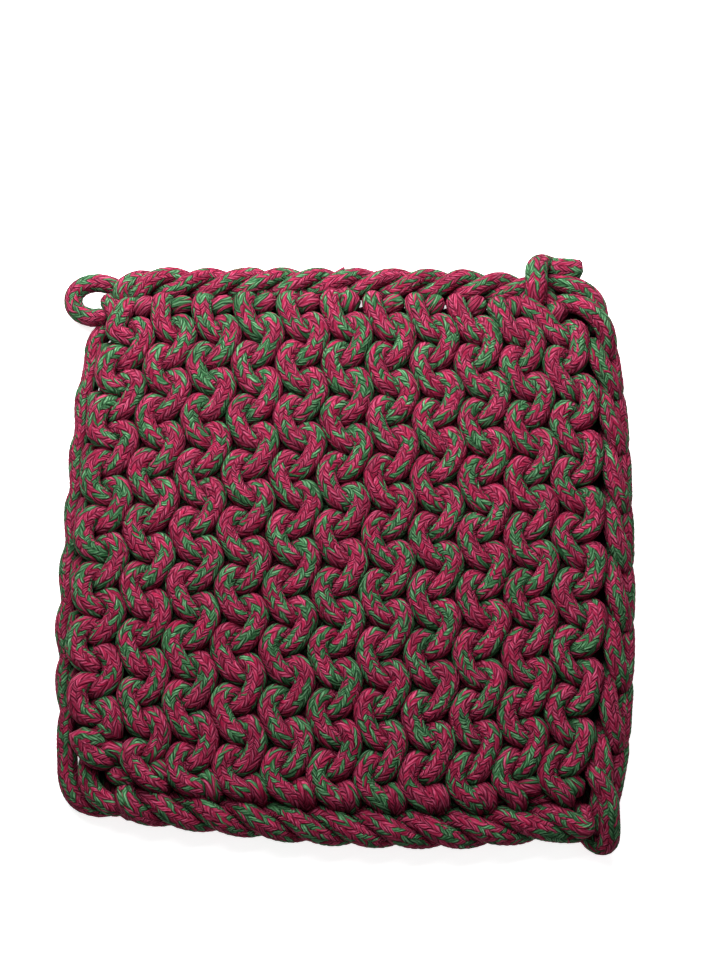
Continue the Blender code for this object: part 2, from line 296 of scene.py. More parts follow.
def rowRoute(row, rows):
    # one row of loops: the repeat's points at even turns, with straight ends, laid into the plan; the
    # outermost rows reach less to their free side, and the first rows' lowest loops are drawn up by
    # an exponential of the place along the side
    k = knitting
    odd = row % 2
    start = k["startTurn"][odd]
    angle = np.arange(start, 360 * (k["stitches"] - 1) + k["endTurn"], 360 / k["pointsPerStitch"])
    stitch = np.floor(angle / 360)
    cell = np.concatenate([rows[odd], rows[odd][:1] + (0, k["stitchPitch"], 0)])
    turns = np.linspace(0, 360, len(cell))
    loops = [np.interp(angle - stitch * 360, turns, cell[:, axis]) for axis in range(3)]
    loops[0] -= odd * k["rowPitch"]
    if odd:
        top = 360 * (k["stitches"] - 1)
        loops = straightEnd(angle, stitch, loops, top + k["straightFrom"], top + k["endTurn"], 0)
    loops = straightEnd(angle, stitch, loops, k["straightTo"][odd], start, rowEnd["late"][odd])
    side, along, height = loops
    swing = np.cos(np.radians(angle))
    if row == 0:
        side[side < 0] *= k["firstRowReach"] / k["loopReach"]
        along += k["firstRowLift"] * np.maximum(swing, 0)
    if row == 1:
        side[side < 0] *= k["secondRowReach"] / k["loopReach"]
    if row == k["rows"] - 1:
        side[side > 0] *= k["lastRowReach"] / k["loopReach"]
    across = k["rowPitch"] * (row + 0.5) + side + k["margin"]
    across /= k["rowPitch"] * k["rows"] + 2 * k["margin"]
    upward = ((along - k["crownShift"]) / k["stitchPitch"] + stitch + k["sinkerPlace"]) / k["stitches"]
    if row < len(k["lowShares"]):
        fade = np.exp(-(upward - k["lowFrom"]) / k["lowFade"])
        upward += k["lowLift"] / k["sideLength"] * fade * k["lowShares"][row]
    plan = planPoint(across, upward)
    return np.column_stack([plan + strayed(plan), k["midHeight"] + height])


def rowTurn(start, end, outwards):
    # the cord's way from one row's end to the next row's start: a cubic curve that swings out a
    # little past the edge, low down under the edge's rope
    part = np.linspace(0, 1, rowEnd["turnPoints"] + 2)[1:-1, None]
    out = outwards * rowEnd["turnOut"]
    one = np.array([start[0], start[1] + out, rowEnd["turnHeight"]])
    two = np.array([end[0], end[1] + out, rowEnd["turnHeight"]])
    return (
        start * (1 - part) ** 3 + 3 * one * part * (1 - part) ** 2
        + 3 * two * part**2 * (1 - part) + end * part**3
    )


def knittedRoute():
    # all rows end to end, up one row and down the next; with it, which points are of a row's lower
    # end or of a turn between two rows, and where each row starts
    pieces = []
    soft = []
    starts = [0]
    rows = settledRepeat()
    for row in range(knitting["rows"]):
        route = rowRoute(row, rows)
        if row % 2:
            route = route[::-1]
        softness = np.zeros(len(route))
        softness[:rowEnd["soft"][0]] = 1
        softness[len(route) - rowEnd["soft"][1] * (row % 2):] = 1
        if pieces:
            pieces.append(rowTurn(pieces[-1][-1], route[0], 1 if row % 2 else -1))
            soft.append(np.ones(len(pieces[-1])))
            starts.append(sum(map(len, pieces)) - rowEnd["turnPoints"] // 2)
        pieces.append(route)
        soft.append(softness)
    return np.concatenate(pieces), np.concatenate(soft), starts


# The linked cord along the top and the bottom edge, drawn as strands twisted round each other.
topRope = {
    "plies": 3, "strand": 3.4, "coil": 2.8, "links": 12.6, "slant": 1, "skew": 0.5, "height": 6.8,
    "shares": (0.01, 0.95),
}
bottomRope = {
    "plies": 3, "strand": 3.9, "coil": 2.7, "links": 11.6, "slant": -1, "skew": 0.5, "height": 8.0,
    "shares": (0.085, 0.97),
}
ropeTuck = {"inwards": 8.0, "beyond": 2.5, "height": 5.0, "pointsPerLink": 8}


def ropeRoutes(side, rope):
    # strands twisted round each other along the outline: each a circle of the coil's radius whose
    # angle grows by one strand's share of a turn for every link, faster where it lies on top; both
    # ends bend in under the loops
    share = np.linspace(*rope["shares"], int(rope["links"] * ropeTuck["pointsPerLink"]))
    row = smoothRow(sides[side], share)
    body, outline = row[:, :2], row[:, 2:4]
    inwards = body - outline
    inwards /= np.linalg.norm(inwards, axis=1)[:, None]
    centre = outline + inwards * (rope["strand"] + rope["coil"])
    routes = []
    for strand in range(rope["plies"]):
        angle = rope["slant"] * turn * (rope["links"] * share + strand) / rope["plies"]
        angle += rope["skew"] * np.sin(angle)
        plan = centre - inwards * rope["coil"] * np.sin(angle)[:, None] * (1 if side == "top" else -1)
        height = rope["height"] + rope["coil"] * np.cos(angle)
        route = np.column_stack([plan, height])
        for end, beyond in ((0, -1), (-1, 1)):
            foot = inwards[end] * ropeTuck["inwards"] + (beyond * ropeTuck["beyond"], 0)
            tuck = (*(route[end][:2] + foot), ropeTuck["height"])
            route = np.insert(route, 0 if end == 0 else len(route), tuck, axis=0)
        routes.append(route)
    return routes


def handRoute(points, steps=4):
    # a smooth curve through given points
    table = np.column_stack([np.linspace(0, 1, len(points)), np.array(points)])
    return smoothRow(table, np.linspace(0, 1, (len(points) - 1) * steps + 1))


boundOff = {
    "links": 8, "firstTop": 81.5, "pitch": 20.7, "strand": 3.7, "width": 11.0,
    "sideFrom": -85.0, "sideLength": 183.0,
}

# One link of the bound-off edge, from its top downwards: how far out from the ridges' edge where the
# band has its full width, how far up along the side and how high. The first five points are the leg
# that is seen on the ridges' side, the next seven go back up along the outside and the last ones down
# underneath to the next link.
linkRoute = (
    (2.0, -1.0, 8.6), (1.8, -4.5, 11.2), (2.8, -10.0, 12.0), (4.4, -15.0, 11.6), (5.8, -19.5, 9.6),
    (6.3, -22.2, 7.0), (6.9, -20.5, 5.0), (7.4, -14.5, 5.6), (7.4, -8.0, 6.2), (7.4, -2.0, 6.4),
    (6.8, 2.0, 5.4), (4.6, 2.6, 4.2), (3.2, -3.0, 3.8), (3.0, -10.0, 3.8), (2.4, -16.0, 5.2),
)

# The edge's odd strands: two round the upper corner and two low ones inside them, and at the
# lower corner a low one and one that comes down over it.
cornerRoutes = (
    ((73.0, 104.0, 4.6), (77.0, 105.2, 6.6), (81.5, 104.2, 8.8), (86.5, 101.2, 10.4), (90.6, 97.6, 10.8),
     (92.8, 93.0, 10.4), (93.2, 88.0, 8.8), (91.6, 84.0, 6.2)),
    ((78.0, 97.0, 4.6), (82.0, 95.8, 9.0), (86.4, 94.6, 12.0), (90.8, 91.4, 13.0), (94.2, 86.4, 12.4),
     (96.0, 80.6, 10.4), (95.8, 75.0, 6.4)),
    ((72.0, 104.0, 4.2), (77.0, 100.5, 4.2), (82.0, 96.5, 4.2), (85.6, 91.0, 4.2), (86.6, 84.0, 4.4)),
    ((80.0, 102.0, 4.2), (86.0, 98.0, 4.2), (90.2, 93.0, 4.2), (91.4, 87.0, 4.2)),
    ((84.0, -60.0, 4.6), (84.5, -67.0, 4.2), (84.0, -75.0, 4.2), (83.6, -83.0, 4.2), (83.0, -90.0, 4.6)),
    ((85.0, -66.0, 6.0), (86.4, -70.5, 9.4), (88.2, -76.0, 12.2), (89.6, -83.0, 12.8), (90.2, -90.5, 11.6),
     (90.6, -97.2, 8.4), (88.0, -98.4, 5.2), (83.5, -94.5, 5.0), (80.0, -91.0, 5.0)),
)


def boundOffRoutes():
    # the link repeated down the side, and the odd strands
    points = []
    for link in range(boundOff["links"]):
        for outwards, up, height in linkRoute:
            y = boundOff["firstTop"] - link * boundOff["pitch"] + up
            row = smoothRow(sides["right"], (y - boundOff["sideFrom"]) / boundOff["sideLength"])
            way = (row[2:4] - row[:2]) / boundOff["width"]
            points.append((*(row[:2] + way * outwards), height))
    routes = [handRoute(points, 2)]
    routes += [handRoute(route) for route in cornerRoutes]
    return routes


# The strand along the cast-on side and a thin one behind it.
castOn = {
    "strand": 3.7,
    "inset": 1.5,              # from the outline to its outer side
    "swing": 0.9,
    "dipAt": 29.9,             # where one of its dips lies, and from one dip to the next
    "dipPitch": 20.8,
    "height": 4.2,
    "shares": (0.12, 0.975),
    "points": 90,
    "back": 2.0,
    "backInset": 10.5,
    "backHeight": 2.1,
    "backFrom": 4,
}

# The lower left corner: the cord's way round it up to the cast-on side, and the strands inside it.
leftCorner = (
    (-77.0, -78.6, 5.0), (-79.6, -83.8, 5.4), (-83.4, -86.0, 5.4), (-88.4, -86.0, 4.8), (-93.2, -84.2, 4.4),
    (-96.4, -80.1, 4.3), (-97.8, -75.0, 4.3), (-98.0, -70.0, 4.3),
)
innerCorners = (
    ((-89.0, -68.5, 6.0), (-89.6, -73.0, 8.4), (-89.2, -78.2, 9.0), (-86.4, -82.4, 9.2), (-82.4, -85.0, 9.0),
     (-79.0, -85.6, 7.6), (-75.5, -84.0, 5.5)),
    ((-86.0, -73.0, 4.0), (-83.0, -79.0, 4.0), (-79.0, -83.0, 4.0), (-74.0, -86.0, 4.0)),
)


def castOnRoutes():
    # round the corner, then the strand along the cast-on side, low down: the outline moved inwards
    # by its radius and a cosine of y, so that it dips once a stitch; and the thin one behind it
    c = castOn
    row = smoothRow(sides["left"], np.linspace(*c["shares"], c["points"]))
    inwards = row[:, :2] - row[:, 2:4]
    inwards /= np.linalg.norm(inwards, axis=1)[:, None]
    inset = c["strand"] + c["inset"] + c["swing"] * np.cos(turn * (row[:, 3] - c["dipAt"]) / c["dipPitch"])
    side = row[:, 2:4] + inwards * inset[:, None]
    side = np.column_stack([side, np.full(len(side), c["height"])])
    back = (row[:, 2:4] + inwards * c["backInset"])[c["backFrom"]:]
    back = np.column_stack([back, np.full(len(back), c["backHeight"])])
    return np.concatenate([handRoute(leftCorner), side]), back


# The hanging loop and the cord's end, as their solids lie.
loopRoute = (
    (-84.0, 101.5, 5.6), (-89.9, 104.3, 6.6), (-94.6, 104.8, 6.6), (-99.0, 103.5, 6.4),
    (-101.8, 100.6, 6.2), (-102.2, 96.8, 6.0), (-100.2, 93.6, 5.8), (-96.6, 91.9, 5.8),
    (-93.1, 91.4, 5.8), (-88.0, 91.5, 6.5),
)
knotRoute = (
    (70.8, 95.4, 8.0), (70.3, 99.0, 12.0), (70.2, 103.2, 13.2), (70.4, 107.2, 12.6), (71.4, 110.0, 10.4),
    (73.4, 111.4, 7.6), (76.0, 110.6, 6.2), (78.6, 109.4, 7.0), (81.4, 108.8, 8.6), (84.8, 108.5, 9.3),
    (88.4, 108.3, 9.5),
)

# How strongly each kind of strand keeps its place while the strands settle, and the radius of those
# whose points are listed one by one.
holds = {"knitted": 1.0, "rope": 8.0, "boundOff": 16.0, "castOn": 12.0, "byHand": 20.0}
handRadius = {"innerCorner": 3.7, "loop": 3.5, "knot": 4.3}


def gatherStrands():
    # every strand with its name, its radius and its hold, the knitted one first
    knitted, soft, starts = knittedRoute()
    listed = [("knitted", knitted, cord["radius"], "knitted")]
    for side, rope in (("top", topRope), ("bottom", bottomRope)):
        listed += [(side, route, rope["strand"], "rope") for route in ropeRoutes(side, rope)]
    listed += [("boundOff", route, boundOff["strand"], "boundOff") for route in boundOffRoutes()]
    side, back = castOnRoutes()
    listed += [("castOn", side, castOn["strand"], "castOn"), ("castOn", back, castOn["back"], "castOn")]
    listed += [("castOn", handRoute(points), handRadius["innerCorner"], "castOn") for points in innerCorners]
    listed.append(("loop", handRoute(loopRoute), handRadius["loop"], "byHand"))
    listed.append(("knot", handRoute(knotRoute), handRadius["knot"], "byHand"))
    strands = [
        {"name": name, "route": route, "radius": radius, "hold": holds[kind]}
        for name, route, radius, kind in listed
    ]
    strands[0]["soft"] = soft
    return strands, starts


def crossingPairs(points, strandOf, runOf):
    # pairs of points within reach of each other that aren't neighbours along one strand
    points = points.astype(np.float32)
    square = (points**2).sum(1)
    gap = square[:, None] + square[None, :] - 2 * points @ points.T
    one, two = np.nonzero(gap < settling["reach"] ** 2)
    near = (strandOf[one] == strandOf[two]) & (np.abs(runOf[one] - runOf[two]) < settling["skip"])
    keep = (one < two) & ~near
    return one[keep], two[keep]


def settle(strands):
    # rounds of small moves: pairs that overlap are pushed apart by half the overlap each, strands
    # keep their spacing and their smoothness, and every point is drawn back a little to its place;
    # each strand then gets its settled route, and the thickness that is drawn
    points = np.concatenate([s["route"] for s in strands])
    counts = [len(s["route"]) for s in strands]
    strandOf = np.repeat(np.arange(len(strands)), counts)
    hold = np.repeat([s["hold"] for s in strands], counts)[:, None] * settling["hold"]
    radius = np.repeat([s["radius"] for s in strands], counts)
    home = points.copy()
    step = np.linalg.norm(np.diff(points, axis=0), axis=1)
    linked = strandOf[1:] == strandOf[:-1]
    runOf = np.concatenate([[0], np.cumsum(np.where(linked, step, 0))])
    wished = step * settling["slack"]
    depth = np.abs(points[:, 2] - knitting["midHeight"]) / knitting["crownHeight"]
    squeeze = cord["squeezed"] + (cord["radius"] - cord["squeezed"]) * np.clip(depth, 0, 1)
    touch = np.where(strandOf == 0, squeeze, radius * settling["otherTouch"])
    touch[:counts[0]] *= 1 - settling["softTouch"] * strands[0]["soft"]
    triple = linked[1:] & linked[:-1]
    for done in range(settling["rounds"]):
        if done % settling["newPairsEvery"] == 0:
            one, two = crossingPairs(points, strandOf, runOf)
        apart = points[one] - points[two]
        gap = np.linalg.norm(apart, axis=1)
        over = np.maximum(touch[one] + touch[two] - gap, 0)
        push = apart / np.maximum(gap, 1e-6)[:, None] * over[:, None]
        met = over > 0
        count = np.bincount(one[met], minlength=len(points)) + np.bincount(two[met], minlength=len(points))
        for axis in range(3):
            moved = np.bincount(one, push[:, axis], len(points))
            moved -= np.bincount(two, push[:, axis], len(points))
            points[:, axis] += 0.5 * moved / np.maximum(count, 1)
        for _ in range(2):
            link = np.diff(points, axis=0)
            length = np.linalg.norm(link, axis=1)
            change = (length - wished) / np.maximum(length, 1e-6) * linked * 0.5 * settling["stretch"]
            pull = link * change[:, None]
            points[:-1] += pull
            points[1:] -= pull
        curl = np.zeros_like(points)
        curl[1:-1] = (points[2:] + points[:-2] - 2 * points[1:-1]) * triple[:, None]
        smooth = np.zeros_like(points)
        smooth[1:-1] = (curl[2:] + curl[:-2] - 2 * curl[1:-1]) * triple[:, None]
        points -= settling["bend"] * smooth / 8
        points += hold * (home - points)
        points[:, 2] = np.clip(points[:, 2], radius + settling["floor"], settling["ceiling"] - radius)
    one, two = crossingPairs(points, strandOf, runOf)
    gap = np.linalg.norm(points[one] - points[two], axis=1)
    print("settled:", len(points), "points, closest middle lines", round(float(gap.min()), 2), "mm")
    inside = np.clip(np.abs(points[:, 2] - knitting["midHeight"]) / knitting["crownHeight"], 0, 1)
    leg, crown = cord["drawn"]
    drawn = np.where(strandOf == 0, leg + (crown - leg) * inside**0.5, radius * settling["otherDrawn"])
    ends = np.cumsum(counts)
    for strand, start, end in zip(strands, ends - counts, ends):
        strand["route"] = points[start:end]
        strand["thick"] = drawn[start:end]


def evenRoute(route, thick, spacing):
    # a cubic B-spline over the points, six steps to each, then points at even distances along it
    count = len(route)
    data = np.column_stack([route, thick])
    data = np.concatenate([2 * data[:1] - data[1:2], data, 2 * data[-1:] - data[-2:-1]])
    place = np.linspace(0, count - 1, count * 6)
    index = np.minimum(place.astype(int), count - 2)
    part = (place - index)[:, None]
    curve = (
        data[index] * (1 - part) ** 3
        + data[index + 1] * (3 * part**3 - 6 * part**2 + 4)
        + data[index + 2] * (-3 * part**3 + 3 * part**2 + 3 * part + 1)
        + data[index + 3] * part**3
    ) / 6
    run = np.concatenate([[0], np.cumsum(np.linalg.norm(np.diff(curve[:, :3], axis=0), axis=1))])
    rings = max(8, int(round(run[-1] / spacing)))
    wished = np.linspace(0, run[-1], rings)
    return np.column_stack([np.interp(wished, run, curve[:, column]) for column in range(4)])


def carriedFrames(centre):
    # two directions across the curve at each ring, carried along it without twist: any directions
    # are taken first, and the angle between each pair of neighbours is then summed up and undone
    way = np.gradient(centre, axis=0)
    way /= np.linalg.norm(way, axis=1)[:, None]
    axis = np.eye(3)[np.argmin(np.abs(way), axis=1)]
    side = np.cross(way, axis)
    side /= np.linalg.norm(side, axis=1)[:, None]
    other = np.cross(way, side)
    axle = np.cross(way[:-1], way[1:])
    cosine = (way[:-1] * way[1:]).sum(1)[:, None]
    carried = side[:-1] + np.cross(axle, side[:-1]) + np.cross(axle, np.cross(axle, side[:-1])) / (1 + cosine)
    angle = np.arctan2((carried * other[1:]).sum(1), (carried * side[1:]).sum(1))
    angle = np.concatenate([[0], np.cumsum(angle)])[:, None]
    return side * np.cos(angle) + other * np.sin(angle), other * np.cos(angle) - side * np.sin(angle)


def plaitRelief(run, column):
    # height of the plaits, from 0 to 1: each column slants the other way, a plait is a rounded bar
    # that is one pitch wide along the cord and dips at its two ends, where its neighbours cover it;
    # the border between two columns swings by a cosine, so that the plaits' ends interlock
    border = np.floor(column + 0.5)
    way = 1 - 2 * (border % 2)
    swing = way * cord["interlock"] * np.cos(turn * (run - way * cord["plaitSlant"] / 2))
    which = np.floor(column - swing * (1 - 2 * np.abs(column - border)))
    part = np.clip(column - which, 0, 1)
    slant = 1 - 2 * (which % 2)
    across = run + slant * cord["plaitSlant"] * (part - 0.5) + 0.5 * (which % 2)
    bar = np.sin(math.pi * (across - np.floor(across)))
    return bar ** cord["barPower"] * (1 - cord["endDip"] + cord["endDip"] * np.sin(math.pi * part))


# Painted shade in the hollows between the loops: the colour is darkened with a point's depth under its
# surroundings.
hollows = {
    "cell": 0.5,               # of the maps, in millimetres
    "size": 480,               # cells to a side
    "stamp": 4,                # the discs' largest radius, in millimetres
    "blur": 2.6,
    "depth": 4.6,              # below its surroundings at which a point is darkest
    "darkest": 0.08,
}


def surroundings(strands):
    # two maps of the mat, its upper and its lower surface, as discs of cord stamped round every
    # middle line's points, each blurred by a Gaussian
    h = hollows
    data = np.concatenate([evenRoute(s["route"], s["thick"], 1.0) for s in strands])
    cells = np.floor(data[:, :2] / h["cell"]).astype(int) + h["size"] // 2
    maps = np.zeros((2, h["size"], h["size"]))
    reach = int(h["stamp"] / h["cell"])
    for i in range(-reach, reach + 1):
        for j in range(-reach, reach + 1):
            inside = np.maximum(data[:, 3] ** 2 - (i * i + j * j) * h["cell"] ** 2, 0)
            tall = np.where(inside > 0, np.sqrt(inside), -99)
            place = (cells[:, 0] + i, cells[:, 1] + j)
            np.maximum.at(maps[0], place, data[:, 2] + tall)
            np.maximum.at(maps[1], place, 2 * knitting["midHeight"] - data[:, 2] + tall)
    wave = np.fft.fftfreq(h["size"], h["cell"])
    soft = np.exp(-2 * (math.pi * h["blur"]) ** 2 * (wave[:, None] ** 2 + wave**2))
    return np.real(np.fft.ifft2(np.fft.fft2(maps) * soft))


def opennessAt(points, maps):
    # 1 where a point stands as high as its surroundings, from above or from below, falling to the
    # darkest as a smooth step of its depth under them; the yarn is faded to the dark by it as painted shade
    h = hollows
    cells = np.floor(points[:, :2] / h["cell"]).astype(int) + h["size"] // 2
    cells = np.clip(cells, 0, h["size"] - 1)
    above = maps[0][cells[:, 0], cells[:, 1]] - points[:, 2]
    below = maps[1][cells[:, 0], cells[:, 1]] - (2 * knitting["midHeight"] - points[:, 2])
    part = np.clip(np.minimum(above, below) / h["depth"], 0, 1)
    return 1 - (1 - h["darkest"]) * part * part * (3 - 2 * part)


def addItem(name, data):
    # an object for the data, in the scene
    item = bpy.data.objects.new(name, data)
    bpy.context.scene.collection.objects.link(item)
    return item


def cordMesh(name, routes, seed, maps):
    # the tube of one or more stretches of cord: rings of points round the middle line, at the cord's
    # radius plus the relief of its plaits, drawn to a point in a short round end; one map counts the
    # plaits along and the columns round the cord, the other lays it out in strips for baking
    spacing = cord["plaitPitch"] / cord["stepsPerPlait"]
    around = cord["columns"] * cord["sidesPerColumn"]
    rng = np.random.default_rng(seed)
    allPoints, allFaces, allEnds, allBraid, allBake = [], [], [], [], []
    rows = [evenRoute(route, thick, spacing) for route, thick in routes]
    total = sum(map(len, rows))
    strips = max(1, int(math.sqrt(total * spacing / (cord["radius"] * turn))))
    perStrip = math.ceil(total / strips)
    first = 0
    base = 0
    for data in rows:
        count = len(data)
        centre, thick = data[:, :3], data[:, 3]
        side, other = carriedFrames(centre)
        start = rng.uniform(0, turn)
        angle = start + np.arange(around) / around * turn
        ring = np.arange(count)
        column = (np.arange(around) + 0.5) / cord["sidesPerColumn"]
        relief = plaitRelief(ring[:, None] / cord["stepsPerPlait"], column[None, :])
        fromEnd = np.minimum(ring, count - 1 - ring) * spacing
        closing = 1 - np.clip(fromEnd / (cord["endRound"] * thick), 0, 1)
        size = (thick - cord["relief"] * cord["sunk"])[:, None] + cord["relief"] * relief
        size = size * np.sqrt(np.clip(1 - closing**2, 0.0004, 1))[:, None]
        out = side[:, None] * np.cos(angle)[None, :, None] + other[:, None] * np.sin(angle)[None, :, None]
        points = centre[:, None] + out * size[..., None]
        allPoints.append(points.reshape(-1, 3))
        i, j = np.meshgrid(np.arange(count - 1), np.arange(around), indexing="ij")
        i, j = i.ravel(), j.ravel()
        nextJ = (j + 1) % around
        quads = base + np.column_stack([
            i * around + j, i * around + nextJ, (i + 1) * around + nextJ, (i + 1) * around + j
        ])
        allFaces.append(quads)
        allEnds.append(base + np.arange(around)[::-1])
        allEnds.append(base + (count - 1) * around + np.arange(around))
        ringCorners = np.column_stack([i, i, i + 1, i + 1])
        sideCorners = np.column_stack([j, j + 1, j + 1, j])
        offset = rng.integers(0, 900) * 1.0
        allBraid.append(np.stack([
            ringCorners / cord["stepsPerPlait"] + offset,
            (sideCorners + 0.5) / cord["sidesPerColumn"],
        ], -1))
        strip = (first + i) // perStrip
        along = (first + ringCorners - strip[:, None] * perStrip) / perStrip
        allBake.append(np.stack([
            0.004 + 0.992 * along,
            (strip[:, None] + 0.03 + 0.94 * sideCorners / around) / strips,
        ], -1))
        first += count
        base += count * around
    points = np.concatenate(allPoints)
    faces = np.concatenate(allFaces)
    ends = np.array(allEnds)
    world = (points - np.array([*planCentre, 0])) * mm
    mesh = bpy.data.meshes.new(name)
    mesh.vertices.add(len(world))
    mesh.vertices.foreach_set("co", world.ravel())
    loops = np.concatenate([faces.ravel(), ends.ravel()])
    mesh.loops.add(len(loops))
    mesh.loops.foreach_set("vertex_index", loops.astype(np.int32))
    sizes = np.concatenate([np.full(len(faces), 4), np.full(len(ends), around)])
    mesh.polygons.add(len(sizes))
    mesh.polygons.foreach_set("loop_start", (np.cumsum(sizes) - sizes).astype(np.int32))
    mesh.polygons.foreach_set("use_smooth", np.ones(len(sizes), bool))
    capUv = np.tile(np.array([[0.002, 0.002]]), (ends.size, 1))
    for uvName, parts in (("braid", allBraid), ("OFBake", allBake)):
        uv = np.concatenate([np.concatenate(parts).reshape(-1, 2), capUv])
        layer = mesh.uv_layers.new(name=uvName)
        layer.uv.foreach_set("vector", uv.astype(np.float32).ravel())
    # the painted shade of the hollows, for each point
    openness = mesh.attributes.new("openness", "FLOAT", "POINT")
    openness.data.foreach_set("value", opennessAt(points, maps).astype(np.float32))
    mesh.update(calc_edges=True)
    mesh.validate()
    return addItem(name, mesh)


def linear(hexColour, alpha=1.0):
    # sRGB hex to linear light
    values = [int(hexColour[i:i + 2], 16) / 255 for i in (1, 3, 5)]
    return tuple(v / 12.92 if v <= 0.04045 else ((v + 0.055) / 1.055) ** 2.4 for v in values) + (alpha,)


def addNode(tree, kind, links=(), **settings):
    # a node with its settings, and its inputs set or linked by name or number
    node = tree.nodes.new(kind)
    for key, value in settings.items():
        setattr(node, key, value)
    for key, value in dict(links).items():
        if isinstance(value, bpy.types.NodeSocket):
            tree.links.new(value, node.inputs[key])
        else:
            node.inputs[key].default_value = value
    return node


def calc(tree, operation, *values, clamp=False):
    # one step of arithmetic
    settings = {"operation": operation, "use_clamp": clamp}
    return addNode(tree, "ShaderNodeMath", dict(enumerate(values)), **settings).outputs[0]


def fade(tree, value, share, power=1.0):
    # one less a share, plus that share times a power of the value
    return calc(tree, "MULTIPLY_ADD", calc(tree, "POWER", value, power), share, 1 - share)


# The yarn's colours with those of its painted highlights and painted shade, and its pattern, in plaits
# along and columns round the cord.
marl = {
    "pink": "#90183A", "pinkHighlight": "#BE5878", "green": "#2A5E36", "greenHighlight": "#78A87E",
    # the dark that the painted shade of the plaits' gaps and of the hollows fades the yarn to
    "groove": "#050103",
    "greenShare": 0.36,
    "threads": 2,
    "shared": 0.15,            # how much a plait's colour follows its neighbours, against chance
    "byThread": 0.35,          # how much one thread may differ from its plait
    "wander": (0.7, 0.6),      # how far the pattern strays along and round the cord
    "outOfStep": 2.4,          # how far one column's plaits are out of step with the next one's
    "fibres": (0.75, 1.3, 9.0),     # of the streaks: per thread, per column, and between threads
    "fibreHighlights": (4.0, -1.6, 1.5),  # their painted highlights: gain, start and how they keep to a thread's middle
    "edgeShade": (0.72, 0.6),  # share and power of the painted shade along a plait's sides
    "endShade": (0.5, 0.5),    # and at its ends
    "threadShade": 0.25,       # between its threads
    "plaitShade": 0.45,        # and a darker tone of whole plaits, by chance
    "bump": 0.0003,            # in metres
}


def whiteNoise(tree, *values):
    # a seeded random number for each set of whole numbers
    place = addNode(tree, "ShaderNodeCombineXYZ", dict(enumerate(values))).outputs[0]
    return addNode(tree, "ShaderNodeTexWhiteNoise", {0: place}, noise_dimensions="3D").outputs[0]


def mixColour(tree, share, first, second):
    # share 0 gives the first colour and share 1 the second
    return addNode(tree, "ShaderNodeMix", {0: share, 6: first, 7: second}, data_type="RGBA").outputs[2]


